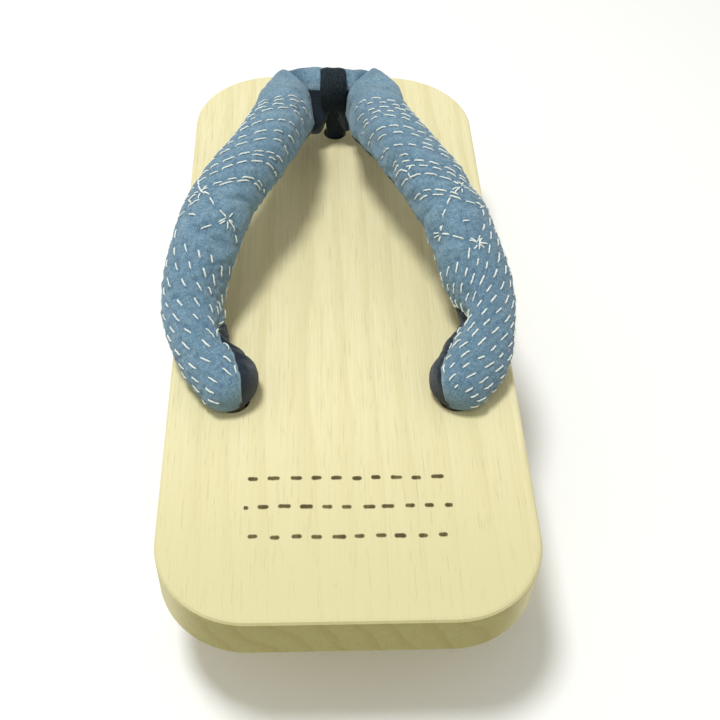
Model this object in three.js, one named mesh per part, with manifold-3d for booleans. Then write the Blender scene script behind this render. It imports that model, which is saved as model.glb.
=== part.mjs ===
// A geta: one paulownia block carved into a deck on two teeth, a padded cloth strap whose two arms
// meet at the nose, a toe loop that holds the nose down through the front hole, and the cord knots
// under the deck that hold the ends of the strap and of the toe loop.
// Millimetres. +X right, +Y toward the toe, +Z up, origin on the floor under the middle of the deck.

import * as THREE from 'three';
import { mergeVertices } from 'three/addons/utils/BufferGeometryUtils.js';
import Module from 'manifold-3d';

const wasm = await Module();
wasm.setup();

// ---- Driving sizes ----------------------------------------------------------------------------

const gap = 0.3;                // left between pieces that touch
const margin = 10;              // how far a cutting tool runs past what it cuts
const mergeDistance = 1e-4;     // points closer than this are one point

const block = { length: 252, width: 110, height: 48, heelRadius: 27, toeRadius: 32, softEdge: 1.6 };
const cornerSteps = 14;
const softEdgeSteps = 3;
const deckThickness = 16;
const deckTop = block.height;
const deckUnder = block.height - deckThickness;

// Each tooth's faces, as distances along the shoe.
const rearTooth = { back: -95, front: -71 };
const frontTooth = { back: 50, front: 74 };
const toothRootRadius = 3;
const toothRootSteps = 5;

const frontHole = { x: 0, y: 87, radius: 4.4 };
const rearHole = { x: 35, y: -49, radius: 5.5 };

// The strap's arms, from the front corner of the nose to the rear end. Each row is one section: how
// far the left and the right arm's centre is from the centre line, its place along the shoe, its
// height above the deck, its half sizes, and how far its crown leans outward in degrees.
const armRows = [
  { leftX: 18.2, rightX: 12.8, y: 91.2, z: 22.4, halfWidth: 3.0, halfHeight: 5.0, lean: 0 },
  { leftX: 18.0, rightX: 13.8, y: 88.0, z: 21.0, halfWidth: 5.6, halfHeight: 7.6, lean: 4 },
  { leftX: 17.0, rightX: 14.0, y: 79.0, z: 19.4, halfWidth: 9.0, halfHeight: 12.4, lean: 8 },
  { leftX: 18.6, rightX: 13.4, y: 63.0, z: 26.2, halfWidth: 9.8, halfHeight: 10.4, lean: 12 },
  { leftX: 27.0, rightX: 23.2, y: 36.0, z: 31.0, halfWidth: 10.2, halfHeight: 9.4, lean: 16 },
  { leftX: 41.2, rightX: 36.8, y: 8.0, z: 26.4, halfWidth: 10.6, halfHeight: 9.8, lean: 18 },
  { leftX: 47.6, rightX: 45.2, y: -20.0, z: 13.6, halfWidth: 10.2, halfHeight: 9.8, lean: 22 },
  { leftX: 41.8, rightX: 40.6, y: -39.0, z: 8.2, halfWidth: 9.8, halfHeight: 9.4, lean: 26 },
  { leftX: 35.8, rightX: 35.2, y: -48.0, z: 5.6, halfWidth: 9.2, halfHeight: 8.8, lean: 28 },
];
const armEndDome = { length: 7.6, rings: 4, lastTurn: 0.89 };    // lastTurn is a share of a quarter turn
const armStations = 40;
const armSides = 26;
const armSquareness = 2.3;    // 2 is an ellipse, more is boxier

// The thin folded middle of the strap that joins the two arms inside the toe loop.
const bridgeRows = [
  { x: -18.0, y: 86.4, z: 20.6, halfDepth: 5.0, halfHeight: 6.4 },
  { x: -10.0, y: 85.6, z: 18.6, halfDepth: 6.0, halfHeight: 8.8 },
  { x: -1.2, y: 85.8, z: 19.8, halfDepth: 4.6, halfHeight: 6.4 },
  { x: 7.0, y: 85.6, z: 18.8, halfDepth: 6.0, halfHeight: 8.6 },
  { x: 13.4, y: 86.4, z: 20.6, halfDepth: 5.0, halfHeight: 6.4 },
];
const bridgeStations = 16;
const bridgeSides = 20;
const bridgeSquareness = 2.4;

// The toe loop, from the crown over the bridge down to the stem that fills the front hole.
const loopRows = [
  { x: -1.2, y: 86.0, z: 28.4, halfWidth: 3.6, halfDepth: 3.8 },
  { x: -1.2, y: 86.0, z: 27.6, halfWidth: 4.6, halfDepth: 6.0 },
  { x: -1.2, y: 86.0, z: 25.5, halfWidth: 5.0, halfDepth: 7.0 },
  { x: -1.1, y: 86.0, z: 20.5, halfWidth: 4.9, halfDepth: 7.2 },
  { x: -0.8, y: 86.2, z: 14.5, halfWidth: 4.2, halfDepth: 6.0 },
  { x: -0.3, y: 86.6, z: 8.5, halfWidth: 3.6, halfDepth: 4.6 },
  { x: 0.0, y: 87.0, z: 2.5, halfWidth: 3.3, halfDepth: 3.7 },
  { x: 0.0, y: 87.0, z: -3.0, halfWidth: 3.3, halfDepth: 3.3 },
];
const loopStations = 28;
const loopSides = 24;
const loopSquareness = 2.8;
const stemRadius = 3.3;

const tailRadius = 4.2;
const roundSides = 24;

// A knot under the deck: turns of cord wound tightly round the end of a tail or of the stem.
const knot = { cordRadius: 2.7, turns: 2, turnRise: 4.6, sides: 22, cordSides: 8 };
const tailBelowKnot = 1.6;

// ---- Materials --------------------------------------------------------------------------------

const paulownia = new THREE.MeshStandardMaterial({ color: 0xe9deb2, roughness: 0.7, metalness: 0 });
const chambray = new THREE.MeshStandardMaterial({ color: 0x5f82a5, roughness: 0.9, metalness: 0 });
const velvet = new THREE.MeshStandardMaterial({ color: 0x1c242c, roughness: 1, metalness: 0 });
const hempCord = new THREE.MeshStandardMaterial({ color: 0xcbb893, roughness: 0.9, metalness: 0 });

// ---- Solids: joining and cutting --------------------------------------------------------------

function toSolid(geometry) {
  const bare = geometry.clone();
  bare.deleteAttribute('normal');
  bare.deleteAttribute('uv');
  const merged = mergeVertices(bare, mergeDistance);
  return new wasm.Manifold(new wasm.Mesh({
    numProp: 3,
    vertProperties: new Float32Array(merged.attributes.position.array),
    triVerts: new Uint32Array(merged.index.array),
  }));
}

function toGeometry(solid) {
  const mesh = solid.getMesh();
  const geometry = new THREE.BufferGeometry();
  geometry.setAttribute('position', new THREE.BufferAttribute(mesh.vertProperties, 3));
  geometry.setIndex(new THREE.BufferAttribute(mesh.triVerts, 1));
  geometry.computeVertexNormals();
  return geometry;
}

function joinAll(solids) {
  return solids.reduce((whole, next) => whole.add(next));
}

function cutAll(solid, tools) {
  return tools.reduce((rest, tool) => rest.subtract(tool), solid);
}

// ---- Shapes that several pieces use -----------------------------------------------------------

// A closed body through a list of rings with the same number of points, with a fan on each end.
function loft(rings) {
  const sides = rings[0].length;
  const positions = [];
  const faces = [];
  for (const ring of rings) {
    for (const point of ring) {
      positions.push(point.x, point.y, point.z);
    }
  }
  for (let row = 0; row < rings.length - 1; row += 1) {
    for (let side = 0; side < sides; side += 1) {
      const here = row * sides + side;
      const next = row * sides + (side + 1) % sides;
      faces.push(here, next, next + sides, here, next + sides, here + sides);
    }
  }
  for (const [row, firstEnd] of [[0, true], [rings.length - 1, false]]) {
    const middle = new THREE.Vector3();
    rings[row].forEach((point) => middle.addScaledVector(point, 1 / sides));
    const hub = positions.length / 3;
    positions.push(middle.x, middle.y, middle.z);
    for (let side = 0; side < sides; side += 1) {
      const here = row * sides + side;
      const next = row * sides + (side + 1) % sides;
      faces.push(...(firstEnd ? [hub, next, here] : [hub, here, next]));
    }
  }
  const geometry = new THREE.BufferGeometry();
  geometry.setAttribute('position', new THREE.Float32BufferAttribute(positions, 3));
  geometry.setIndex(faces);
  return geometry;
}

// A rounded section: a point on a superellipse with half sizes 1.
function roundedPoint(angle, squareness) {
  const bend = (value) => Math.sign(value) * Math.abs(value) ** (2 / squareness);
  return { across: bend(Math.cos(angle)), up: bend(Math.sin(angle)) };
}

// A ring about a centre, in the plane of two unit vectors.
function ringAt(centre, across, up, halfAcross, halfUp, sides, squareness) {
  return Array.from({ length: sides }, (_, side) => {
    const unit = roundedPoint((side / sides) * 2 * Math.PI, squareness);
    return centre.clone()
      .addScaledVector(across, unit.across * halfAcross)
      .addScaledVector(up, unit.up * halfUp);
  });
}

// Reads a table's columns as smooth functions of how far along the table one is, from 0 to 1.
function smoothTable(rows, columns) {
  const curve = (names) => new THREE.CatmullRomCurve3(
    rows.map((row) => new THREE.Vector3(...names.map((name) => row[name] ?? 0))),
  );
  const place = curve(columns.place);
  const size = curve(columns.size);
  return {
    placeAt: (along) => place.getPoint(along),
    headingAt: (along) => place.getTangent(along),
    sizeAt: (along) => size.getPoint(along),
  };
}

function upright(x, y, radius, bottom, top) {
  const geometry = new THREE.CylinderGeometry(radius, radius, top - bottom, roundSides);
  geometry.rotateX(Math.PI / 2);
  geometry.translate(x, y, (top + bottom) / 2);
  return geometry;
}

// ---- Deck and teeth ---------------------------------------------------------------------------

function blockOutline() {
  const halfWidth = block.width / 2;
  const halfLength = block.length / 2;
  const heel = block.heelRadius;
  const toe = block.toeRadius;
  const quarter = Math.PI / 2;
  const outline = new THREE.Shape();
  outline.absarc(halfWidth - heel, -halfLength + heel, heel, -quarter, 0);
  outline.absarc(halfWidth - toe, halfLength - toe, toe, 0, quarter);
  outline.absarc(-halfWidth + toe, halfLength - toe, toe, quarter, 2 * quarter);
  outline.absarc(-halfWidth + heel, -halfLength + heel, heel, 2 * quarter, 3 * quarter);
  outline.closePath();
  return outline;
}

function carvedBlock() {
  const soft = block.softEdge;
  const geometry = new THREE.ExtrudeGeometry(blockOutline(), {
    depth: block.height - 2 * soft,
    curveSegments: cornerSteps,
    bevelEnabled: true,
    bevelSegments: softEdgeSteps,
    bevelThickness: soft,
    bevelSize: soft,
    bevelOffset: -soft,
  });
  geometry.translate(0, 0, soft);
  return toSolid(geometry);
}

// The wood cut away below the deck between two faces, with the deck's underside as its roof.
// A face that a tooth stands behind has a rounded root.
function spaceUnderDeck(back, front, roundBack, roundFront) {
  const root = toothRootRadius;
  const profile = new THREE.Shape();
  profile.moveTo(back, -margin);
  profile.lineTo(front, -margin);
  if (roundFront) {
    profile.lineTo(front, deckUnder - root);
    profile.absarc(front - root, deckUnder - root, root, 0, Math.PI / 2);
  } else {
    profile.lineTo(front, deckUnder);
  }
  if (roundBack) {
    profile.lineTo(back + root, deckUnder);
    profile.absarc(back + root, deckUnder - root, root, Math.PI / 2, Math.PI);
  } else {
    profile.lineTo(back, deckUnder);
  }
  profile.closePath();
  const across = block.width + 2 * margin;
  const geometry = new THREE.ExtrudeGeometry(profile, {
    depth: across,
    curveSegments: toothRootSteps,
    bevelEnabled: false,
  });
  const alongXFromYZ = new THREE.Matrix4().makeBasis(
    new THREE.Vector3(0, 1, 0),
    new THREE.Vector3(0, 0, 1),
    new THREE.Vector3(1, 0, 0),
  );
  geometry.applyMatrix4(alongXFromYZ);
  geometry.translate(-across / 2, 0, 0);
  return toSolid(geometry);
}

function deckGeometry() {
  const past = block.length / 2 + margin;
  const spaces = [
    spaceUnderDeck(-past, rearTooth.back, false, true),
    spaceUnderDeck(rearTooth.front, frontTooth.back, true, true),
    spaceUnderDeck(frontTooth.front, past, true, false),
  ];
  const drills = [
    { x: frontHole.x, y: frontHole.y, radius: frontHole.radius },
    { x: rearHole.x, y: rearHole.y, radius: rearHole.radius },
    { x: -rearHole.x, y: rearHole.y, radius: rearHole.radius },
  ].map((hole) => toSolid(upright(hole.x, hole.y, hole.radius, deckUnder - margin, deckTop + margin)));
  return toGeometry(cutAll(carvedBlock(), [...spaces, ...drills]));
}

// ---- Strap ------------------------------------------------------------------------------------

// One padded arm. It is drawn on the right, and side is -1 where it is then mirrored to the left.
function armSolid(side) {
  const distance = side > 0 ? 'rightX' : 'leftX';
  const table = smoothTable(armRows, {
    place: [distance, 'y', 'z'],
    size: ['halfWidth', 'halfHeight', 'lean'],
  });
  const ringOf = (centre, heading, size, shrink) => {
    const lean = THREE.MathUtils.degToRad(size.z);
    const crown = new THREE.Vector3(Math.sin(lean), 0, Math.cos(lean));
    const across = new THREE.Vector3().crossVectors(crown, heading).normalize();
    const up = new THREE.Vector3().crossVectors(heading, across).normalize();
    return ringAt(centre, across, up, size.x * shrink, size.y * shrink, armSides, armSquareness);
  };
  const rings = [];
  for (let station = 0; station <= armStations; station += 1) {
    const along = station / armStations;
    rings.push(ringOf(table.placeAt(along), table.headingAt(along), table.sizeAt(along), 1));
  }
  const end = table.placeAt(1);
  const heading = table.headingAt(1);
  for (let ring = 1; ring <= armEndDome.rings; ring += 1) {
    const turn = (ring / armEndDome.rings) * armEndDome.lastTurn * (Math.PI / 2);
    const centre = end.clone().addScaledVector(heading, Math.sin(turn) * armEndDome.length);
    rings.push(ringOf(centre, heading, table.sizeAt(1), Math.cos(turn)));
  }
  const geometry = loft(rings.map((ring) => ring.map((point) => {
    return new THREE.Vector3(point.x, point.y, point.z + deckTop);
  })));
  return mirrored(toSolid(geometry), side);
}

function mirrored(solid, side) {
  return side > 0 ? solid : solid.mirror([1, 0, 0]);
}

function bridgeSolid(clearance) {
  const table = smoothTable(bridgeRows, { place: ['x', 'y', 'z'], size: ['halfDepth', 'halfHeight'] });
  const toeward = new THREE.Vector3(0, 1, 0);
  const up = new THREE.Vector3(0, 0, 1);
  const rings = [];
  for (let station = 0; station <= bridgeStations; station += 1) {
    const along = station / bridgeStations;
    const centre = table.placeAt(along);
    const size = table.sizeAt(along);
    centre.z += deckTop;
    rings.push(ringAt(
      centre, toeward, up, size.x + clearance, size.y + clearance, bridgeSides, bridgeSquareness,
    ));
  }
  return toSolid(loft(rings));
}

// Everything lower than just above the deck, which the strap is pressed flat against.
function belowDeckTop() {
  const size = block.length + 2 * margin;
  const geometry = new THREE.BoxGeometry(size, size, size);
  geometry.translate(0, 0, deckTop + gap - size / 2);
  return toSolid(geometry);
}

function knotHeight() {
  return 2 * knot.cordRadius + (knot.turns - 1) * knot.turnRise;
}

function tailSolid(x, y, radius, top) {
  const bottom = deckUnder - gap - knotHeight() - tailBelowKnot;
  return toSolid(upright(x, y, radius, bottom, top));
}

function strapGeometry() {
  const arms = joinAll([armSolid(1), armSolid(-1)]).subtract(loopSolid(gap));
  const above = arms.add(bridgeSolid(0)).subtract(belowDeckTop());
  const tailTop = deckTop + armRows.at(-1).z;
  const tails = [1, -1].map((side) => tailSolid(side * rearHole.x, rearHole.y, tailRadius, tailTop));
  return toGeometry(joinAll([above, ...tails]));
}

// ---- Toe loop ---------------------------------------------------------------------------------

// The loop as if it were filled: the bridge is cut out of it, and it is cut out of the arms.
function loopSolid(clearance) {
  const table = smoothTable(loopRows, { place: ['x', 'y', 'z'], size: ['halfWidth', 'halfDepth'] });
  const across = new THREE.Vector3(1, 0, 0);
  const toeward = new THREE.Vector3(0, 1, 0);
  const rings = [];
  for (let station = 0; station <= loopStations; station += 1) {
    const along = 1 - station / loopStations;
    const centre = table.placeAt(along);
    const size = table.sizeAt(along);
    centre.z += deckTop;
    rings.push(ringAt(
      centre, across, toeward, size.x + clearance, size.y + clearance, loopSides, loopSquareness,
    ));
  }
  return toSolid(loft(rings));
}

function toeLoopGeometry() {
  const stem = tailSolid(frontHole.x, frontHole.y, stemRadius, deckTop);
  return toGeometry(loopSolid(0).add(stem).subtract(bridgeSolid(gap)));
}

// ---- Knots ------------------------------------------------------------------------------------

function knotGeometry(x, y, tail) {
  const ringRadius = tail + gap + knot.cordRadius;
  const top = deckUnder - gap - knot.cordRadius;
  const turns = Array.from({ length: knot.turns }, (_, turn) => {
    const torus = new THREE.TorusGeometry(ringRadius, knot.cordRadius, knot.cordSides, knot.sides);
    torus.translate(x, y, top - turn * knot.turnRise);
    return toSolid(torus);
  });
  return toGeometry(joinAll(turns));
}

// ---- Assembly ---------------------------------------------------------------------------------

function piece(name, geometry, material) {
  const mesh = new THREE.Mesh(geometry, material);
  mesh.name = name;
  return mesh;
}

const geta = new THREE.Group();
geta.name = 'geta';
geta.add(
  piece('deck', deckGeometry(), paulownia),
  piece('strap', strapGeometry(), chambray),
  piece('toe_loop', toeLoopGeometry(), velvet),
  piece('front_knot', knotGeometry(frontHole.x, frontHole.y, stemRadius), hempCord),
  piece('rear_knot_right', knotGeometry(rearHole.x, rearHole.y, tailRadius), hempCord),
  piece('rear_knot_left', knotGeometry(-rearHole.x, rearHole.y, tailRadius), hempCord),
);

export default geta;
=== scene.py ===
import math
import random

import bmesh
import bpy
import numpy as np
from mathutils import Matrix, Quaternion, Vector, noise


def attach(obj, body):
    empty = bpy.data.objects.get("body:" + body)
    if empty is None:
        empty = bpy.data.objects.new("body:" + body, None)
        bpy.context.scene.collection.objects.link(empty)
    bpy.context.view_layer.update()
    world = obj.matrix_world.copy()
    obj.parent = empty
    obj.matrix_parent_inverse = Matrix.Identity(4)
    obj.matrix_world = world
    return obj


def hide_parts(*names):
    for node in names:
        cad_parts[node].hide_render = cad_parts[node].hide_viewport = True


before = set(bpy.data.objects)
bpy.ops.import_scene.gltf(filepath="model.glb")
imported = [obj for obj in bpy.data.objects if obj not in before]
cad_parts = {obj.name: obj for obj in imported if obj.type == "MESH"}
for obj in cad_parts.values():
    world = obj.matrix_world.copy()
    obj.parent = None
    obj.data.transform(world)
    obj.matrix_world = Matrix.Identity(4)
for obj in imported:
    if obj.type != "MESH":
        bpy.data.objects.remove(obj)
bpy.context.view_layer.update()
print("frame loaded:", sorted(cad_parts))

mm = 0.001                  # tables below are in millimetres, as the shoe is cut
deckTop = 48.0
deckUnder = 32.0
deckGap = 0.35              # left between the cloth and the wood
sheetSize = 200.0           # millimetres of cloth that one unit of a UV map stands for


def table(names, rows):
    return [dict(zip(names.split(), row)) for row in rows]


def placed(name, data):
    # shows a mesh, a lamp or a camera at the origin
    made = bpy.data.objects.new(name, data)
    bpy.context.collection.objects.link(made)
    return made


def meshOf(shape, name):
    mesh = bpy.data.meshes.new(name)
    shape.to_mesh(mesh)
    shape.free()
    return mesh


# the camera, the floor and the light

cameraSet = {
    "place": (-13.1, -258.1, 306.4),
    "aim": (5.4, -33.0, 48.0),
    "roll": 3.3,            # degrees, tilts the top of the view to the left
    "lens": 53.0,
}

lightSet = {
    "key": {"place": (-250, 70, 1180), "aim": (0, 0, 40), "size": 0.28, "power": 9.1,
            "color": (0.96, 0.985, 1.0)},
    "fill": {"place": (-600, -260, 900), "aim": (0, 0, 40), "size": 1.8, "power": 1.3, "color": (1, 1, 1)},
    "sky": 0.50,
    "skyColor": (1.0, 0.985, 0.90),
    "floorHalf": 3.0,       # metres
}


def aimed(place, aim):
    return (Vector(aim) - Vector(place)).to_track_quat("-Z", "Y")


def makeCamera():
    data = bpy.data.cameras.new("view")
    data.lens = cameraSet["lens"]
    data.clip_start, data.clip_end = 0.01, 50
    eye = placed("view", data)
    eye.rotation_mode = "QUATERNION"
    eye.location = Vector(cameraSet["place"]) * mm
    roll = Quaternion((0, 0, 1), math.radians(cameraSet["roll"]))
    eye.rotation_quaternion = aimed(cameraSet["place"], cameraSet["aim"]) @ roll
    bpy.context.scene.camera = eye


def makeLight(name, values):
    data = bpy.data.lights.new(name, "AREA")
    data.shape = "DISK"
    data.size = values["size"]
    data.energy = values["power"]
    data.color = values["color"]
    lamp = placed(name, data)
    lamp.rotation_mode = "QUATERNION"
    lamp.location = Vector(values["place"]) * mm
    lamp.rotation_quaternion = aimed(values["place"], values["aim"])


def makeStage():
    plane = bmesh.new()
    bmesh.ops.create_grid(plane, x_segments=1, y_segments=1, size=lightSet["floorHalf"])
    mesh = meshOf(plane, "floor")
    floor = placed("floor", mesh)
    paint = bpy.data.materials.new("pale floor")
    paint.use_nodes = True
    shader = paint.node_tree.nodes["Principled BSDF"]
    shader.inputs["Base Color"].default_value = (0.96, 0.96, 0.96, 1)
    shader.inputs["Roughness"].default_value = 0.9
    mesh.materials.append(paint)
    world = bpy.data.worlds.new("studio")
    bpy.context.scene.world = world
    world.use_nodes = True
    sky = world.node_tree.nodes["Background"]
    sky.inputs["Color"].default_value = (*lightSet["skyColor"], 1)
    sky.inputs["Strength"].default_value = lightSet["sky"]


bpy.context.scene.view_settings.view_transform = "Standard"
makeCamera()
for name in ("key", "fill"):
    makeLight(name, lightSet[name])
makeStage()
print("camera, floor and light set")


class Bench:
    # a material's node tree, with short ways to add and join its nodes

    def __init__(self, name):
        self.material = bpy.data.materials.new(name)
        self.material.use_nodes = True
        self.tree = self.material.node_tree
        self.shader = self.tree.nodes["Principled BSDF"]

    def node(self, kind, **settings):
        made = self.tree.nodes.new(kind)
        for key, value in settings.items():
            setattr(made, key, value)
        return made

    def join(self, source, target):
        self.tree.links.new(source, target)

    def feed(self, value, socket):
        # value is a number, a colour or another node's output
        if isinstance(value, tuple):
            socket.default_value = (*value, 1)
        elif isinstance(value, (int, float)):
            socket.default_value = value
        else:
            self.join(value, socket)

    def math(self, operation, first, second=0.0, third=0.0):
        made = self.node("ShaderNodeMath", operation=operation)
        self.feed(first, made.inputs[0])
        self.feed(second, made.inputs[1])
        self.feed(third, made.inputs[2])
        return made.outputs[0]

    def times(self, first, second):
        return self.math("MULTIPLY", first, second)

    def timesPlus(self, first, factor, extra):
        return self.math("MULTIPLY_ADD", first, factor, extra)

    def split(self, vector):
        made = self.node("ShaderNodeSeparateXYZ")
        self.join(vector, made.inputs[0])
        return made.outputs

    def scaled(self, vector, scale, turn=(0, 0, 0)):
        made = self.node("ShaderNodeMapping")
        self.join(vector, made.inputs["Vector"])
        made.inputs["Scale"].default_value = scale
        made.inputs["Rotation"].default_value = turn
        return made.outputs[0]

    def noise(self, vector, scale, detail=3.0, rough=0.5):
        # scale is how many grains fit into a unit of the vector, along each of its axes
        made = self.node("ShaderNodeTexNoise")
        self.join(self.scaled(vector, scale), made.inputs["Vector"])
        made.inputs["Scale"].default_value = 1.0
        made.inputs["Detail"].default_value = detail
        made.inputs["Roughness"].default_value = rough
        return made.outputs["Fac"]

    def ramp(self, factor, stops):
        made = self.node("ShaderNodeValToRGB")
        self.join(factor, made.inputs[0])
        band = made.color_ramp
        while len(band.elements) < len(stops):
            band.elements.new(0.5)
        for element, (place, color) in zip(band.elements, stops):
            element.position = place
            element.color = (*color, 1)
        return made.outputs[0]

    def level(self, factor, low, high, toLow=0.0, toHigh=1.0, smooth=True):
        made = self.node("ShaderNodeMapRange")
        made.interpolation_type = "SMOOTHSTEP" if smooth else "LINEAR"
        self.join(factor, made.inputs["Value"])
        made.inputs["From Min"].default_value = low
        made.inputs["From Max"].default_value = high
        made.inputs["To Min"].default_value = toLow
        made.inputs["To Max"].default_value = toHigh
        return made.outputs["Result"]

    def mix(self, factor, first, second, blend="MIX"):
        made = self.node("ShaderNodeMix", data_type="RGBA", blend_type=blend)
        self.feed(factor, made.inputs["Factor"])
        self.feed(first, made.inputs["A"])
        self.feed(second, made.inputs["B"])
        return made.outputs["Result"]

    def relief(self, height, depth):
        made = self.node("ShaderNodeBump")
        made.inputs["Strength"].default_value = 1.0
        made.inputs["Distance"].default_value = depth * mm
        self.join(height, made.inputs["Height"])
        self.join(made.outputs[0], self.shader.inputs["Normal"])

    def finish(self, color, roughness, **fixed):
        self.feed(color, self.shader.inputs["Base Color"])
        self.feed(roughness, self.shader.inputs["Roughness"])
        for key, value in fixed.items():
            self.shader.inputs[key.replace("_", " ")].default_value = value
        return self.material


woodSet = {
    "ringSlope": 34.0,      # degrees between the growth rings and upright
    "ringEvery": 8.5,       # millimetres
    "early": (0.82, 0.745, 0.455),
    "late": (0.62, 0.52, 0.25),
    "fibreDark": (0.73, 0.645, 0.355),
    "fibrePale": (0.85, 0.78, 0.51),
    "pore": (0.47, 0.37, 0.19),
    "cool": (0.69, 0.63, 0.35),
    "endGrainAndShade": (0.55, 0.535, 0.32),
    "endSpeck": (0.30, 0.25, 0.10),
    "burnt": (0.060, 0.042, 0.005),
    "burntEdge": (0.125, 0.085, 0.014),
    "markMiddle": (0.0, -89.0),
    "markHalf": 30.0,       # half the length of each row of burnt dashes
    "markRows": (-10.0, 0.0, 10.0),
    "dashEvery": 6.0,
    "dashShare": 0.60,
    "dashHalfWidth": 0.64,
}


def burntDashes(wood, spot, wobble):
    # rows of short dashes at the heel, each row set off by half a step; spot is in millimetres
    middleX, middleY = woodSet["markMiddle"]
    every, halfWidth = woodSet["dashEvery"], woodSet["dashHalfWidth"]
    fromMiddle = wood.math("SUBTRACT", spot[0], middleX)
    burnt = 0.0
    for index, row in enumerate(woodSet["markRows"]):
        step = wood.math("ADD", wood.math("DIVIDE", fromMiddle, every), 100 + 0.5 * (index % 2))
        chance = wood.node("ShaderNodeTexWhiteNoise", noise_dimensions="1D")
        wood.join(wood.math("ADD", wood.math("FLOOR", step), 31.0 * index), chance.inputs["W"])
        chances = wood.node("ShaderNodeSeparateColor")
        wood.join(chance.outputs["Color"], chances.inputs[0])
        along = wood.math("SUBTRACT", wood.math("FRACT", step), 0.5)
        along = wood.math("ABSOLUTE", wood.timesPlus(chances.outputs[0], 0.14, along))
        half = wood.timesPlus(chances.outputs[1], -0.75, every * woodSet["dashShare"] / 2 - halfWidth + 0.25)
        past = wood.math("MAXIMUM", wood.math("SUBTRACT", wood.times(along, every), half), 0.0)
        off = wood.math("SUBTRACT", spot[1], middleY + row)
        off = wood.timesPlus(chances.outputs[2], 0.5, wood.math("SUBTRACT", off, 0.25))
        squares = wood.math("ADD", wood.math("POWER", past, 2.0), wood.math("POWER", off, 2.0))
        reach = wood.timesPlus(wobble, 0.7, wood.math("SQRT", squares))
        burnt = wood.math("MAXIMUM", burnt, wood.level(reach, halfWidth + 0.05, halfWidth + 0.55, 1.0, 0.0))
    markHalf = woodSet["markHalf"]
    inRow = wood.level(wood.math("ABSOLUTE", fromMiddle), markHalf, markHalf + 0.3, 1.0, 0.0)
    onTop = wood.level(spot[2], deckTop - 1.0, deckTop - 0.8)
    return wood.times(wood.times(burnt, inRow), onTop)


def makeWood():
    wood = Bench("paulownia")
    place = wood.node("ShaderNodeTexCoord").outputs["Object"]
    inMm = wood.scaled(place, (1000, 1000, 1000))
    spot = wood.split(inMm)
    # growth rings: slanted sheets that run the length of the shoe
    slowWarp = wood.noise(place, (30, 5, 30), 2.0)
    fineWarp = wood.noise(place, (300, 14, 300), 3.0)
    turned = wood.scaled(inMm, (1, 1, 1), (0, math.radians(woodSet["ringSlope"]), 0))
    across = wood.timesPlus(slowWarp, 16.0, wood.split(turned)[0])
    across = wood.timesPlus(fineWarp, 1.3, across)
    ring = wood.math("FRACT", wood.math("DIVIDE", across, woodSet["ringEvery"]))
    lateLine = wood.times(wood.level(ring, 0.45, 0.93), wood.level(ring, 0.94, 1.0, 1.0, 0.0))
    # fine straight fibres, short pores and slow patches
    fibres = wood.noise(place, (1900, 34, 1900), 4.0, 0.6)
    poreMask = wood.level(wood.noise(place, (1900, 90, 1900), 2.0, 0.5), 0.60, 0.74)
    patches = wood.noise(place, (22, 7, 22), 3.0)
    tones = [(0.25, woodSet["fibreDark"]), (0.50, woodSet["early"]), (0.75, woodSet["fibrePale"])]
    body = wood.ramp(fibres, tones)
    body = wood.mix(wood.times(lateLine, 0.24), body, woodSet["late"])
    body = wood.mix(wood.times(poreMask, 0.18), body, woodSet["pore"])
    body = wood.mix(wood.level(patches, 0.42, 0.68, 0.0, 0.5), body, woodSet["cool"])
    # painted shade: the heel half is made a shade deeper, standing in for the light that falls off away from
    # the toe
    body = wood.mix(wood.level(spot[1], -120.0, -40.0, 0.95, 0.0), body, woodSet["cool"])
    # faces that look along the shoe are duller: end grain drinks light, and they are painted darker still as
    # painted shade, since the heel face stands in shade
    facing = wood.split(wood.node("ShaderNodeTexCoord").outputs["Normal"])
    endFace = wood.level(wood.math("ABSOLUTE", facing[1]), 0.55, 0.95)
    specks = wood.noise(place, (1300, 400, 1300), 3.0, 0.6)
    body = wood.mix(wood.times(wood.times(lateLine, endFace), 0.55), body, woodSet["late"])
    # painted shade: the end faces are multiplied darker than their grain alone would make them
    body = wood.mix(wood.times(endFace, 0.92), body, woodSet["endGrainAndShade"], "MULTIPLY")
    speckled = wood.times(endFace, wood.level(specks, 0.45, 0.75, 0.0, 0.45))
    body = wood.mix(speckled, body, woodSet["endSpeck"])
    wobble = wood.noise(place, (420, 420, 420), 2.0)
    burnt = burntDashes(wood, spot, wobble)
    scorch = wood.mix(wood.level(wobble, 0.4, 0.65), woodSet["burnt"], woodSet["burntEdge"])
    body = wood.mix(wood.times(burnt, 0.97), body, scorch)
    height = wood.timesPlus(fibres, 0.10, wood.times(lateLine, 0.05))
    height = wood.timesPlus(poreMask, -0.06, height)
    height = wood.timesPlus(burnt, -0.5, height)
    wood.relief(height, 1.0)
    roughness = wood.timesPlus(fibres, 0.2, 0.55)
    return wood.finish(body, roughness, Specular_IOR_Level=0.32)


wood = makeWood()
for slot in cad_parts["deck"].material_slots:
    slot.material = wood
print("deck: paulownia with burnt dashes")


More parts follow.
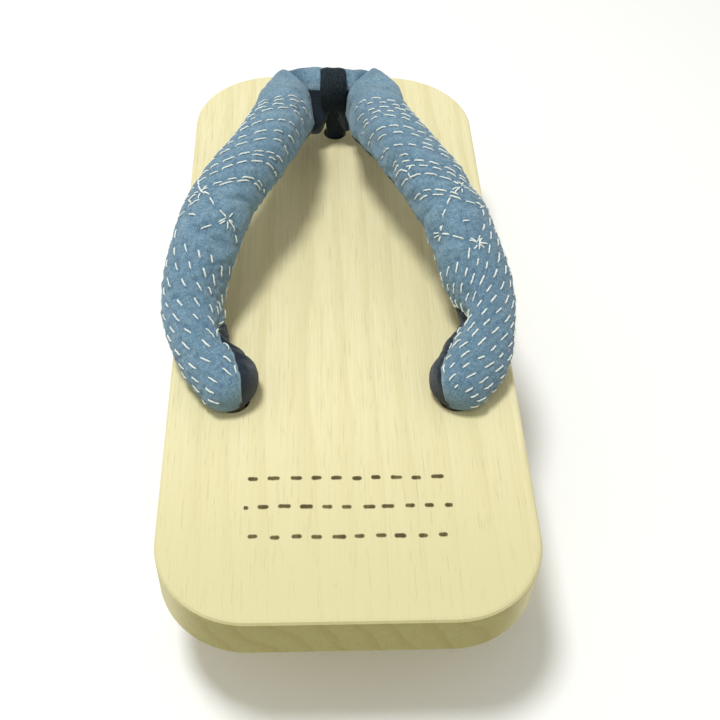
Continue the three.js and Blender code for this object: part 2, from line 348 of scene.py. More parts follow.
def blended(values, stations, at):
    # a smooth curve through a column of a table, with the table's stations as its knots
    last = len(values) - 1
    place = min(max(at, 0.0), 1.0) * last
    row = min(int(place), last - 1)
    part = place - row
    knots = [stations[max(row - 1, 0)], stations[row], stations[row + 1], stations[min(row + 2, last)]]
    steps = [math.sqrt(abs(knots[i + 1] - knots[i]) or abs(knots[2] - knots[1])) for i in range(3)]
    v1, v2 = values[row], values[row + 1]
    v0 = values[row - 1] if row > 0 else 2 * v1 - v2
    v3 = values[row + 2] if row + 2 <= last else 2 * v2 - v1
    slope1 = ((v1 - v0) / steps[0] - (v2 - v0) / (steps[0] + steps[1]) + (v2 - v1) / steps[1]) * steps[1]
    slope2 = ((v2 - v1) / steps[1] - (v3 - v1) / (steps[1] + steps[2]) + (v3 - v2) / steps[2]) * steps[1]
    curve = -3 * v1 + 3 * v2 - 2 * slope1 - slope2
    twist = 2 * v1 - 2 * v2 + slope1 + slope2
    return v1 + part * (slope1 + part * (curve + part * twist))


def column(rows, name):
    return [row[name] for row in rows]


def read(rows, name, stations, at):
    return blended(column(rows, name), stations, at)


def endCap(u, share):
    # rounds off both ends of a tube over that share of its length
    return min(1.0, math.sqrt(max(0.0, min(u, 1 - u)) / share))


def roundedUnit(angle, squareness):
    # angle from the crown; returns how far aside and how far up, each from -1 to 1
    aside, up = math.sin(angle), math.cos(angle)
    power = 2 / squareness
    return math.copysign(abs(aside) ** power, aside), math.copysign(abs(up) ** power, up)


def swell(distance, width):
    return math.exp(-((distance / width) ** 2))


class RolledSkin:
    # a flat grid of cloth rolled up into a closed tube by a function of along and round, both 0 to 1

    def __init__(self, name, along, around, pointAt, sizeMm):
        self.name, self.along, self.around = name, along, around
        sheet = bmesh.new()
        bmesh.ops.create_grid(sheet, x_segments=along, y_segments=around, size=0.5)
        rowLayer = sheet.verts.layers.int.new("row")
        columnLayer = sheet.verts.layers.int.new("column")
        uvLayer = sheet.loops.layers.uv.new("cloth")
        places = {}
        for vert in sheet.verts:
            u, v = vert.co.x + 0.5, vert.co.y + 0.5
            row, col = round(u * along), round(v * around) % around
            vert[rowLayer], vert[columnLayer] = row, col
            for loop in vert.link_loops:
                loop[uvLayer].uv = (u * sizeMm[0] / sheetSize, 0.5 + (v - 0.5) * sizeMm[1] / sheetSize)
            if (row, col) not in places:
                places[row, col] = pointAt(row / along, col / around)
            vert.co = places[row, col]
        bmesh.ops.remove_doubles(sheet, verts=sheet.verts[:], dist=1e-4)
        bmesh.ops.recalc_face_normals(sheet, faces=sheet.faces[:])
        for face in sheet.faces:
            face.smooth = True
        sheet.verts.ensure_lookup_table()
        self.cells = [(vert[rowLayer], vert[columnLayer]) for vert in sheet.verts]
        self.grid = np.zeros((along + 1, around, 3))
        for (row, col), place in places.items():
            self.grid[row, col] = place
        self.mesh = meshOf(sheet, name)

    def write(self):
        # puts the grid's points back into the mesh, turning millimetres into metres
        places = np.array([self.grid[cell] for cell in self.cells]) * mm
        self.mesh.vertices.foreach_set("co", places.ravel())
        self.mesh.update()

    def attribute(self, name, values):
        layer = self.mesh.attributes.new(name, "FLOAT", "POINT")
        layer.data.foreach_set("value", np.array([values[cell] for cell in self.cells], dtype=float))

    def normals(self):
        alongStep = np.gradient(self.grid, axis=0)
        roundStep = np.roll(self.grid, -1, axis=1) - np.roll(self.grid, 1, axis=1)
        made = np.cross(alongStep, roundStep)
        length = np.linalg.norm(made, axis=2, keepdims=True)
        made = made / np.maximum(length, 1e-9)
        middle = self.grid.mean(axis=1, keepdims=True)
        if np.sum(made * (self.grid - middle)) < 0:
            made = -made
        return made

    def at(self, row, col):
        # a point of the skin between grid points
        row = min(max(row, 0.0), self.along - 1e-6)
        r0, c0 = int(row), int(math.floor(col))
        fr, fc = row - r0, col - c0
        a, b = c0 % self.around, (c0 + 1) % self.around
        g = self.grid
        return (g[r0, a] * (1 - fr) * (1 - fc) + g[r0, b] * (1 - fr) * fc
                + g[r0 + 1, a] * fr * (1 - fc) + g[r0 + 1, b] * fr * fc)

    def show(self, material):
        self.write()
        piece = placed(self.name, self.mesh)
        self.mesh.materials.append(material)
        smooth = piece.modifiers.new("smooth", "SUBSURF")
        smooth.levels = smooth.render_levels = 1
        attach(piece, "root")
        return piece


# the strap's two padded arms, from the nose back; places are from the middle of the deck's top
armRows = table("leftX rightX y z halfWidth halfHeight lean", [
    (15.8, 10.4, 91.0, 20.4, 5.4, 7.4, 0),
    (16.6, 11.0, 88.0, 19.8, 7.0, 8.6, 2),
    (18.0, 14.4, 79.0, 19.4, 8.4, 10.8, 6),
    (19.5, 14.2, 63.0, 25.6, 9.0, 10.2, 12),
    (27.0, 23.2, 36.0, 31.0, 10.2, 9.4, 16),
    (41.2, 36.8, 8.0, 26.4, 10.6, 9.8, 18),
    (47.6, 45.2, -20.0, 13.6, 10.2, 9.8, 22),
    (41.8, 40.6, -39.0, 8.2, 9.8, 9.4, 26),
    (35.8, 35.2, -48.0, 5.6, 9.2, 8.8, 28),
])

# where the light cloth ends and the navy lining starts on each side, in degrees from the crown
innerSeams = {
    1: [(0, 112), (20, 116), (36, 126), (60, 132), (123, 132), (128, 106), (133, 86), (143, 82), (154, 66),
        (162, 46), (172, 20)],
    -1: [(0, 104), (20, 110), (34, 124), (50, 132), (128, 134), (134, 92), (139, 52), (145, 54), (151, 46),
         (157, 34), (163, 12), (172, -10)],
}
outerSeam = [(0, 118), (60, 114), (110, 114), (140, 124), (175, 130)]

armSet = {
    "along": 200,
    "around": 80,
    "frontCap": 0.012,      # share of the grid's length that closes the front end
    "rearCap": 0.055,       # share that makes the rounded rear end
    "rearDome": 7.6,
    "squareness": 2.3,
    "frontSquareness": 3.4,
    "girth": 62.0,
    "mitre": {1: 12.5, -1: 11.5},       # how much further back the inner side of the front end is cut
    "mitreFlat": {1: 0.2, -1: 0.0},     # share of the width left uncut at the outer side
    "mitreReach": 22.0,
    "noseWiden": {1: 0.6, -1: 0.0},     # extra half width right at the front end
    "puff": 0.34,           # how far the cloth stands up between stitches before it is filled
    "lump": 0.34,           # slow unevenness of the filling
    "seamDip": 0.5,
}

# main creases: distance along the arm and degrees from the crown toward the inside;
# a negative depth is a bulge, and sharp is the power of the trough's curve, 2 for a soft one
armCreases = {
    1: table("along angle deep wide reach slant sharp", [
        (131, 104, 6.8, 6.2, 44, -0.04, 1.15),
        (130, 30, 0.9, 3.0, 46, -0.16, 2),
        (138, 40, 0.6, 2.4, 40, 0.10, 2),
        (112, 100, -1.3, 13.0, 36, 0.0, 2),
        (144, -78, -1.9, 11.0, 40, 0.0, 2),
        (90, 96, 0.7, 2.4, 34, 0.04, 2),
        (66, 96, 0.8, 2.2, 34, 0.04, 2),
        (40, 80, 0.7, 2.6, 50, -0.05, 2),
        (84, -70, 1.1, 3.2, 40, 0.05, 2),
    ]),
    -1: table("along angle deep wide reach slant sharp", [
        (138, 92, 5.0, 5.4, 42, 0.03, 1.15),
        (142, 48, 1.5, 1.8, 18, 0.22, 2),
        (122, 100, 1.6, 12.0, 40, 0.0, 2),
        (128, 30, 0.7, 2.6, 46, 0.12, 2),
        (58, 92, 0.8, 2.4, 36, 0.05, 2),
        (86, 76, 0.7, 2.6, 40, -0.06, 2),
        (104, 60, 0.8, 2.6, 44, 0.05, 2),
        (38, 60, 0.6, 2.6, 60, -0.05, 2),
    ]),
}

stations = column(armRows, "y")


def armCentre(side, t):
    reach = read(armRows, "rightX" if side > 0 else "leftX", stations, t)
    return Vector((side * reach, blended(stations, stations, t), deckTop + read(armRows, "z", stations, t)))


def armLengths(side, steps=400):
    spots = [armCentre(side, i / steps) for i in range(steps + 1)]
    total = [0.0]
    for first, second in zip(spots, spots[1:]):
        total.append(total[-1] + (second - first).length)
    return total


def seamAngle(side, which, distance):
    places, degrees = zip(*(innerSeams[side] if which == "inner" else outerSeam))
    return float(np.interp(distance, places, degrees))


def creaseDepth(side, distance, degrees):
    depth = 0.0
    for crease in armCreases[side]:
        off = distance - crease["along"] - crease["slant"] * (degrees - crease["angle"])
        reach = swell(degrees - crease["angle"], crease["reach"])
        trough = math.exp(-(abs(off / crease["wide"]) ** crease["sharp"]))
        ridge = 0.0
        if crease["deep"] > 0 and crease["sharp"] == 2:
            ridge = 0.32 * (swell(off - 2.1 * crease["wide"], 1.3 * crease["wide"])
                            + swell(off + 2.1 * crease["wide"], 1.3 * crease["wide"]))
        depth += crease["deep"] * reach * (trough - ridge)
    return depth


def armSkin(side):
    lengths = armLengths(side)
    armLength = lengths[-1]
    front, rear = armSet["frontCap"], armSet["rearCap"]
    dome = armSet["rearDome"]
    distances = {}

    def unroll(u):
        # returns the station, how much the section has shrunk, and how far past the end it is
        if u < front:
            return 0.0, u / front, 0.0, 0.0
        if u > 1 - rear:
            turn = (u - (1 - rear)) / rear * math.pi / 2
            past = dome * math.sin(turn)
            return 1.0, math.cos(turn), past, armLength + past
        share = (u - front) / (1 - rear - front)
        distance = share * armLength
        place = float(np.interp(distance, lengths, np.linspace(0, 1, len(lengths))))
        return place, 1.0, 0.0, distance

    def pointAt(u, v):
        t, shrink, past, distance = unroll(u)
        distances[u] = distance
        step = 0.002
        heading = (armCentre(side, min(t + step, 1)) - armCentre(side, max(t - step, 0))).normalized()
        frontness = swell(distance, 30)
        heading = Vector((heading.x, heading.y, heading.z * (1 - frontness))).normalized()
        lean = math.radians(read(armRows, "lean", stations, t))
        crown = Vector((side * math.sin(lean), 0, math.cos(lean)))
        up = (crown - heading * crown.dot(heading)).normalized()
        inward = up.cross(heading)
        if inward.x * side > 0:
            inward = -inward
        angle = (v - 0.5) * 2 * math.pi
        degrees = math.degrees(angle)
        square = armSet["squareness"] + (armSet["frontSquareness"] - armSet["squareness"]) * frontness
        aside, rise = roundedUnit(angle, square)
        width = read(armRows, "halfWidth", stations, t)
        width += armSet["noseWiden"][side] * swell(distance, 10)
        height = read(armRows, "halfHeight", stations, t)
        radial = (inward * math.sin(angle) + up * math.cos(angle))
        spot = armCentre(side, t) + heading * past
        spot += (inward * aside * width + up * rise * height) * shrink
        uncut = armSet["mitreFlat"][side]
        cutBack = max(0.0, 0.5 + 0.5 * aside * shrink - uncut) / (1 - uncut)
        spot.y -= armSet["mitre"][side] * cutBack * math.exp(-max(distance, 0.0) / armSet["mitreReach"])
        dent = creaseDepth(side, distance, degrees) * min(1.0, shrink * 1.5)
        for which, sign in (("inner", 1), ("outer", -1)):
            off = (degrees - sign * seamAngle(side, which, distance)) * armSet["girth"] / 360
            dent += armSet["seamDip"] * swell(off, 0.9) * shrink
            dent -= 0.22 * swell(off + sign * 1.7, 1.0) * shrink
            dent += 0.16 * math.sin(distance * 2 * math.pi / 3.4 + side) * swell(off, 2.6) * shrink
        lump = noise.noise(Vector((distance / 11, degrees / 46, 3.7 * side))) * armSet["lump"] * shrink
        fine = noise.noise(Vector((distance / 3.2, degrees / 40, 9.1 + side))) * 0.16 * shrink
        return spot + radial * (lump + fine - dent)

    skin = RolledSkin("strap_arm_" + ("right" if side > 0 else "left"),
                      armSet["along"], armSet["around"], pointAt, (armLength + dome, armSet["girth"]))
    skin.side = side
    skin.distances = np.array([distances[row / armSet["along"]] for row in range(armSet["along"] + 1)])
    skin.degrees = (np.arange(armSet["around"]) / armSet["around"] - 0.5) * 360
    return skin


def seamDistance(skin):
    # millimetres inside the light cloth, negative on the lining
    values = np.zeros(skin.grid.shape[:2])
    for row, distance in enumerate(skin.distances):
        inner, outer = seamAngle(skin.side, "inner", distance), seamAngle(skin.side, "outer", distance)
        values[row] = np.minimum(inner - skin.degrees, skin.degrees + outer) * armSet["girth"] / 360
        if distance <= 0:
            values[row] = -1.0      # the folded front end shows the lining
    return values


stitchSet = {
    "length": 4.0,
    "crossLength": 4.5,     # on the rows that cross the strap
    "seamGap": 4.0,
    "radius": 0.25,
    "sides": 6,
    "rings": 7,
    "rise": 0.26,
    "sink": 0.32,
    "seed": 11,
}

# how the arms are filled
fillSet = {
    "frames": 20,
    "most": 1.3,            # millimetres a point may move
    "rules": {
        "quality": 6,
        "mass": 0.15,
        "tension_stiffness": 12.0,
        "compression_stiffness": 12.0,
        "shear_stiffness": 4.0,
        "bending_stiffness": 0.05,
        "air_damping": 3.0,
        "shrink_min": -0.05,        # a little extra cloth between stitches
        "use_pressure": True,
        "uniform_pressure_force": 4.0,
    },
}

# rows that cross the strap, by where they pass its crown, from the nose back, and the gap between stitches
crossRows = {
    1: table("y from to gap start", [
        (57.0, -72, 84, 1.5, 0.0),
        (53.6, -84, 50, 1.6, 0.5),
        (49.6, -88, 92, 1.2, 0.6),
        (46.0, -84, 84, 2.0, 0.2),
        (42.4, -88, 98, 1.2, 0.1),
        (36.0, -92, 106, 0.6, 0.3),
        (32.0, -90, 96, 1.5, 0.8),
        (28.4, -90, 10, 1.6, 0.1),
        (25.4, -90, 102, 1.3, 0.4),
        (22.0, -86, -10, 1.5, 0.6),
        (20.4, 40, 108, 1.3, 0.3),
        (17.8, -90, 96, 0.9, 0.5),
        (15.6, -92, 104, 0.8, 0.0),
        (12.0, -94, 106, 0.55, 0.2),
        (5.8, 4, 108, 0.7, 0.5),
        (4.2, 10, 98, 1.2, 0.1),
        (7.4, -94, -8, 1.1, 0.5),
    ]),
    -1: table("y from to gap start", [
        (58.0, -50, 70, 1.5, 0.5),
        (55.0, -76, 84, 1.4, 0.2),
        (51.4, -80, 70, 1.5, 0.8),
        (47.6, -88, 94, 1.2, 0.6),
        (43.8, -84, -6, 1.5, 0.1),
        (39.2, -92, 106, 0.6, 0.4),
        (36.0, -88, -30, 1.4, 0.4),
        (32.6, -90, 98, 1.8, 0.0),
        (27.8, -90, 104, 1.2, 0.5),
        (21.3, -94, 106, 0.55, 0.3),
        (19.6, 20, 90, 1.6, 0.5),
        (16.8, -94, 108, 0.6, 0.7),
        (13.6, -92, -34, 1.0, 0.4),
        (10.0, -30, 106, 1.1, 0.1),
        (8.6, 4, 96, 1.3, 0.6),
        (6.6, -86, 0, 1.6, 0.3),
    ]),
}
crossSlope = -0.33          # how far a row drifts toward the heel for each millimetre outward

# slanted rows on the rear half: they start at the outer seam and drift inward as they run back
slantLast = 154             # how far along the arm the last one starts
slantRows = {
    1: {"first": 24, "every": 7.6, "turn": 2.7, "frontInner": 105, "frontOuter": 90, "gap": 2.2},
    -1: {"first": 20, "every": 10.2, "turn": 2.3, "frontInner": 104, "frontOuter": 96, "gap": 3.6},
}

# lone lines of stitches that link the two parts, as places along the arm and degrees from the crown
linkRows = {
    1: table("gap spots", [
        (1.9, [(87, 0), (91, 38), (94, 60), (98, 80)]),
        (0.9, [(98, 96), (98.6, 78), (101, 60), (103.5, 40), (106, 20), (107, 0)]),
        (2.2, [(106, 18), (101, -4), (95, -20)]),
        (1.8, [(92, 8), (95, -16), (93, -48)]),
        (2.0, [(98, 30), (98.6, 16)]),
    ]),
    -1: table("gap spots", [
        (2.2, [(84, -34), (88.7, -5), (93, 30), (95, 58)]),
        (0.9, [(95, 60), (96.5, 80), (100, 94)]),
        (1.8, [(95, 56), (98.4, 38), (101, 16)]),
        (1.0, [(91, -30), (93, -12)]),
        (1.0, [(96.4, -12), (96.6, 12)]),
    ]),
}

# small stars where rows meet
stars = {
    1: table("along angle rays turn", [
        (87, 0, 5, 12),
        (98.3, 80, 4, 34),
        (106.4, 18, 4, 50),
        (73, 72, 3, 20),
    ]),
    -1: table("along angle rays turn", [
        (88.7, -6, 5, 8),
        (95, 60, 5, 28),
    ]),
}


def crossPath(skin, row):
    # walks round the strap where a slightly slanted plane crosses it; returns (row, column) spots
    crown = skin.grid[:, skin.around // 2 + 2]
    crownX = float(np.interp(-row["y"], -crown[:, 1], crown[:, 0] * skin.side))
    spots = []
    for degreesNow in range(row["from"], row["to"] + 1, 3):
        col = (degreesNow / 360 + 0.5) * skin.around
        low = int(math.floor(col))
        part = col - low
        line = skin.grid[:, low % skin.around] * (1 - part) + skin.grid[:, (low + 1) % skin.around] * part
        level = line[:, 1] - row["y"] - crossSlope * (line[:, 0] * skin.side - crownX)
        under = np.nonzero(level < 0)[0]
        if len(under) and under[0] > 0:
            after = under[0]
            share = level[after - 1] / (level[after - 1] - level[after])
            spots.append((after - 1 + share, col))
    return spots


def spotOf(skin, distance, degreesNow):
    row = float(np.interp(distance, skin.distances, np.arange(len(skin.distances))))
    return row, (degreesNow / 360 + 0.5) * skin.around


def slantPath(skin, first):
    rule = slantRows[skin.side]
    spots = []
    for distance in np.arange(first, skin.distances[-1] - 2, 1.0):
        degreesNow = -104 + rule["turn"] * (distance - first)
        if degreesNow > seamAngle(skin.side, "inner", distance) - 7:
            break
        inwardShare = min(max((degreesNow + 60) / 80, 0.0), 1.0)
        if distance > rule["frontOuter"] + (rule["frontInner"] - rule["frontOuter"]) * inwardShare:
            spots.append(spotOf(skin, distance, degreesNow))
    return spots


def seamPath(skin, first, last, inset):
    return [spotOf(skin, distance, seamAngle(skin.side, "inner", distance) - inset)
            for distance in np.arange(first, last, 1.0)]


def linkPath(skin, spots):
    distances, degrees = zip(*spots)
    shares = np.linspace(0, len(spots) - 1, 8 * len(spots))
    knots = np.arange(len(spots))
    return [spotOf(skin, float(np.interp(share, knots, distances)), float(np.interp(share, knots, degrees)))
            for share in shares]


def dashesAlong(skin, spots, start, draw, gap, usual=stitchSet["length"]):
    # cuts a path into stitches; each one is a list of (row, column) spots
    if len(spots) < 2:
        return []
    places = [skin.at(*spot) for spot in spots]
    total = [0.0]
    for first, second in zip(places, places[1:]):
        total.append(total[-1] + float(np.linalg.norm(second - first)))
    rows, cols = zip(*spots)
    made = []
    at = start * (usual + gap)
    while at + 1.5 < total[-1]:
        length = usual * draw.uniform(0.7, 1.2)
        sway = draw.uniform(-0.5, 0.5)
        spread = np.linspace(at, min(at + length, total[-1]), stitchSet["rings"])
        made.append([(float(np.interp(d, total, rows)) + sway * (i / len(spread) - 0.5),
                      float(np.interp(d, total, cols)) + sway * 0.6) for i, d in enumerate(spread)])
        at += length + gap * draw.uniform(0.7, 1.35)
    return made


def starDashes(skin, star, draw):
    made = []
    middleRow, middleCol = spotOf(skin, star["along"], star["angle"])
    perRow = float(np.gradient(skin.distances)[int(middleRow)])
    perCol = armSet["girth"] / skin.around
    for ray in range(star["rays"]):
        turn = math.radians(star["turn"] + ray * 360 / star["rays"] + draw.uniform(-8, 8))
        near, far = draw.uniform(0.2, 0.9), draw.uniform(2.2, 3.4)
        spread = np.linspace(near, far, stitchSet["rings"])
        made.append([(middleRow + math.cos(turn) * d / perRow, middleCol + math.sin(turn) * d / perCol)
                     for d in spread])
    return made


def allStitches(skin):
    draw = random.Random(stitchSet["seed"] + skin.side)
    made = []
    for row in crossRows[skin.side]:
        path = crossPath(skin, row)
        made += dashesAlong(skin, path, row["start"], draw, row["gap"], stitchSet["crossLength"])
    rule = slantRows[skin.side]
    for first in np.arange(rule["first"], slantLast, rule["every"]):
        made += dashesAlong(skin, slantPath(skin, first), draw.random(), draw, rule["gap"])
    for row in linkRows[skin.side]:
        made += dashesAlong(skin, linkPath(skin, row["spots"]), 0.0, draw, row["gap"])
    for star in stars[skin.side]:
        made += starDashes(skin, star, draw)
    made += dashesAlong(skin, seamPath(skin, 92, 160, 8), 0.3, draw, stitchSet["seamGap"])
    return made


def pullIn(skin, stitches):
    # the cloth stands up between stitches and is held down along each one
    held = np.full(skin.grid.shape[:2], 1e9)
    perCol = armSet["girth"] / skin.around
    perRow = np.gradient(skin.distances).mean()
    rowsHere, colsHere = np.arange(skin.along + 1), np.arange(skin.around)
    for stitch in stitches:
        for row, col in (stitch[0], stitch[len(stitch) // 2], stitch[-1]):
            low, high = max(int(row) - 7, 0), min(int(row) + 8, skin.along + 1)
            near = (rowsHere[low:high, None] - row) * perRow
            aside = (((colsHere[None, :] - col) + skin.around / 2) % skin.around - skin.around / 2) * perCol
            held[low:high] = np.minimum(held[low:high], np.hypot(near, aside))
    skin.held = held
    lift = 1 - np.exp(-((held / 2.4) ** 2))
    ends = np.clip(skin.distances / 10, 0, 1) * np.clip((skin.distances[-1] - skin.distances) / 5, 0, 1)
    skin.grid += skin.normals() * ((lift - 0.75) * armSet["puff"] * ends[:, None])[:, :, None]


def fillOut(skin, pins):
    # the sewn tube is filled: pressure from inside, held where pins is 1, and no point may move far
    skin.write()
    trial = placed(skin.name + "_filling", skin.mesh.copy())
    group = trial.vertex_groups.new(name="held")
    for index, cell in enumerate(skin.cells):
        if pins[cell] > 0.02:
            group.add([index], float(min(pins[cell], 1.0)), "REPLACE")
    cloth = trial.modifiers.new("filling", "CLOTH")
    cloth.point_cache.frame_start, cloth.point_cache.frame_end = 1, fillSet["frames"]
    for key, value in fillSet["rules"].items():
        setattr(cloth.settings, key, value)
    cloth.settings.effector_weights.gravity = 0
    cloth.settings.vertex_group_mass = group.name
    cloth.collision_settings.use_collision = False
    cloth.collision_settings.use_self_collision = False
    for number in range(1, fillSet["frames"] + 1):
        bpy.context.scene.frame_set(number)
    settled = trial.evaluated_get(bpy.context.evaluated_depsgraph_get()).data
    after = np.empty(len(skin.cells) * 3)
    settled.vertices.foreach_get("co", after)
    before = np.array([skin.grid[cell] for cell in skin.cells])
    move = after.reshape(-1, 3) / mm - before
    length = np.linalg.norm(move, axis=1, keepdims=True)
    move *= np.minimum(1.0, fillSet["most"] / np.maximum(length, 1e-9))
    for cell, place in zip(skin.cells, before + move):
        skin.grid[cell] = place
    print(skin.name, "filled, with a mean move of", round(float(length.mean()), 3), "mm")
    mesh = trial.data
    bpy.data.objects.remove(trial)
    bpy.data.meshes.remove(mesh)
    bpy.context.scene.frame_set(1)


def armPins(skin):
    # sewn down at every stitch, at the front fold, at the rear hole and along the underside
    pins = np.exp(-((skin.held / 0.9) ** 2))
    ends = np.maximum(1 - skin.distances / 12, (skin.distances - skin.distances[-1] + 8) / 5)
    pins = np.maximum(pins, np.clip(ends, 0, 1)[:, None])
    under = np.clip((np.abs(skin.degrees) - 112) / 20, 0, 1)
    return np.maximum(pins, under[None, :])


def pressOnDeck(skin):
    lowest = deckTop + deckGap
    skin.grid[:, :, 2] = np.maximum(skin.grid[:, :, 2], lowest)


def stitchPiece(skin, stitches, material):
    # every stitch is a short thread that dives into the cloth at both ends
    draw = random.Random(stitchSet["seed"] * 3 + skin.side)
    normals = skin.normals()
    threads = bmesh.new()
    for stitch in stitches:
        places, outs = [], []
        for row, col in stitch:
            places.append(Vector(skin.at(row, col)))
            outs.append(Vector(normals[min(int(round(row)), skin.along), int(round(col)) % skin.around]))
        if places[len(places) // 2].z < deckTop + 1.2:
            continue
        radius = stitchSet["radius"] * draw.uniform(0.85, 1.15)
        made = bmesh.ops.create_circle(threads, segments=stitchSet["sides"], radius=radius, cap_ends=True)
        ring = made["verts"]
        rings = [ring]
        edges = list({edge for vert in ring for edge in vert.link_edges})
        for _ in places[1:]:
            grown = bmesh.ops.extrude_edge_only(threads, edges=edges)["geom"]
            ring = [g for g in grown if isinstance(g, bmesh.types.BMVert)]
            edges = [g for g in grown if isinstance(g, bmesh.types.BMEdge)]
            rings.append(ring)
        bmesh.ops.edgeloop_fill(threads, edges=edges)
        last = len(places) - 1
        for index, (ring, place, out) in enumerate(zip(rings, places, outs)):
            heading = (places[min(index + 1, last)] - places[max(index - 1, 0)]).normalized()
            aside = out.cross(heading).normalized()
            share = index / last
            arch = 1 - abs(2 * share - 1) ** 5
            middle = place + out * (stitchSet["rise"] * arch - stitchSet["sink"] * (1 - arch))
            thin = 0.55 + 0.45 * arch
            for turn, vert in enumerate(ring):
                angle = 2 * math.pi * turn / stitchSet["sides"]
                spoke = aside * math.cos(angle) * 1.15 + out * math.sin(angle) * 0.9
                vert.co = (middle + spoke * radius * thin) * mm
    bmesh.ops.recalc_face_normals(threads, faces=threads.faces[:])
    for face in threads.faces:
        face.smooth = True
    mesh = meshOf(threads, skin.name + "_stitches")
    piece = placed(mesh.name, mesh)
    mesh.materials.append(material)
    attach(piece, "root")


clothSet = {
    "light": (0.195, 0.335, 0.440),
    "deep": (0.054, 0.120, 0.200),
    "pale": (0.430, 0.580, 0.660),
    "navy": (0.009, 0.017, 0.028),
    "navyPale": (0.026, 0.041, 0.058),
    "threadEvery": 0.46,    # millimetres between neighbouring threads
}


def weave(bench, every):
    # plain weave from the piece's own cloth map: threads along, threads across, and which is on top
    flat = bench.node("ShaderNodeUVMap", uv_map="cloth").outputs[0]
    spot = bench.split(bench.scaled(flat, (sheetSize, sheetSize, 1)))
    turns = math.pi / every
    alongWave = bench.math("SINE", bench.times(spot[0], turns))
    acrossWave = bench.math("SINE", bench.times(spot[1], turns))
    over = bench.times(alongWave, acrossWave)
    height = bench.math("ADD", bench.math("ABSOLUTE", alongWave), bench.math("ABSOLUTE", acrossWave))
    return flat, over, height


def makeStrapCloth():
    cloth = Bench("strap chambray and lining")
    flat, over, height = weave(cloth, clothSet["threadEvery"])
    warpSlub = cloth.noise(flat, (60, 900, 1), 3.0, 0.6)
    weftSlub = cloth.noise(flat, (900, 60, 1), 3.0, 0.6)
    heather = cloth.noise(flat, (190, 190, 1), 5.0, 0.75)
    fade = cloth.noise(flat, (16, 16, 1), 3.0)
    thread = cloth.mix(cloth.level(over, -0.25, 0.25), warpSlub, weftSlub)
    tones = [(0.30, clothSet["deep"]), (0.52, clothSet["light"]), (0.76, clothSet["pale"])]
    light = cloth.ramp(thread, tones)
    light = cloth.mix(cloth.level(heather, 0.50, 0.72, 0.0, 0.50), light, clothSet["pale"])
    light = cloth.mix(cloth.level(heather, 0.28, 0.50, 0.55, 0.0), light, clothSet["deep"])
    # painted shade: the cloth is darkened toward the deep tone where the shade attribute is high
    shade = cloth.node("ShaderNodeAttribute", attribute_name="shade").outputs["Fac"]
    shaded = cloth.times(shade, cloth.level(heather, 0.3, 0.6, 0.62, 0.30))
    light = cloth.mix(shaded, light, clothSet["deep"])
    light = cloth.mix(cloth.level(fade, 0.35, 0.65, 0.0, 0.22), light, clothSet["deep"])
    navy = cloth.ramp(thread, [(0.3, clothSet["navy"]), (0.75, clothSet["navyPale"])])
    seam = cloth.node("ShaderNodeAttribute", attribute_name="seam").outputs["Fac"]
    edgeNoise = cloth.noise(flat, (300, 300, 1), 2.0)
    seam = cloth.timesPlus(edgeNoise, 0.3, seam)
    isLight = cloth.level(seam, 0.05, 0.22)
    rim = cloth.times(cloth.level(seam, 0.1, 0.5), cloth.level(seam, 0.9, 1.6, 1.0, 0.0))
    light = cloth.mix(cloth.times(rim, 0.30), light, clothSet["pale"])
    color = cloth.mix(isLight, navy, light)
    fuzz = cloth.noise(flat, (1400, 1400, 1), 2.0)
    relief = cloth.timesPlus(height, 0.075, cloth.times(fuzz, 0.05))
    relief = cloth.timesPlus(thread, 0.06, relief)
    cloth.relief(relief, 1.0)
    return cloth.finish(color, 0.92, Specular_IOR_Level=0.15, Sheen_Weight=0.25, Sheen_Roughness=0.5)


def makeThread():
    thread = Bench("stitch thread")
    place = thread.node("ShaderNodeTexCoord").outputs["Object"]
    twist = thread.noise(place, (1600, 1600, 1600), 2.0)
    tones = [(0.3, (0.56, 0.62, 0.57)), (0.55, (0.80, 0.87, 0.83)), (0.8, (0.90, 0.94, 0.92))]
    color = thread.ramp(twist, tones)
    thread.relief(twist, 0.12)
    return thread.finish(color, 0.75, Specular_IOR_Level=0.25, Sheen_Weight=0.2)


def makeVelvet():
    velvet = Bench("loop velvet")
    place = velvet.node("ShaderNodeTexCoord").outputs["Object"]
    nap = velvet.noise(place, (1300, 1300, 700), 4.0, 0.7)
    crush = velvet.noise(place, (160, 160, 60), 3.0)
    color = velvet.ramp(nap, [(0.3, (0.006, 0.010, 0.013)), (0.7, (0.028, 0.040, 0.048))])
    color = velvet.mix(velvet.level(crush, 0.45, 0.7, 0.0, 0.5), color, (0.030, 0.042, 0.056))
    velvet.relief(velvet.timesPlus(nap, 0.16, velvet.times(crush, 0.2)), 1.0)
    return velvet.finish(color, 0.95, Specular_IOR_Level=0.1, Sheen_Weight=0.35, Sheen_Roughness=0.35,
                         Sheen_Tint=(0.35, 0.42, 0.5, 1))


def makeCord():
    cord = Bench("knot cord")
    place = cord.node("ShaderNodeTexCoord").outputs["Object"]
    fibre = cord.noise(place, (900, 900, 900), 4.0, 0.6)
    tones = [(0.3, (0.33, 0.26, 0.15)), (0.55, (0.56, 0.47, 0.31)), (0.8, (0.70, 0.62, 0.44))]
    color = cord.ramp(fibre, tones)
    cord.relief(fibre, 0.25)
    return cord.finish(color, 0.85, Specular_IOR_Level=0.2)


strapCloth = makeStrapCloth()
threadFinish = makeThread()
velvetFinish = makeVelvet()
cordFinish = makeCord()

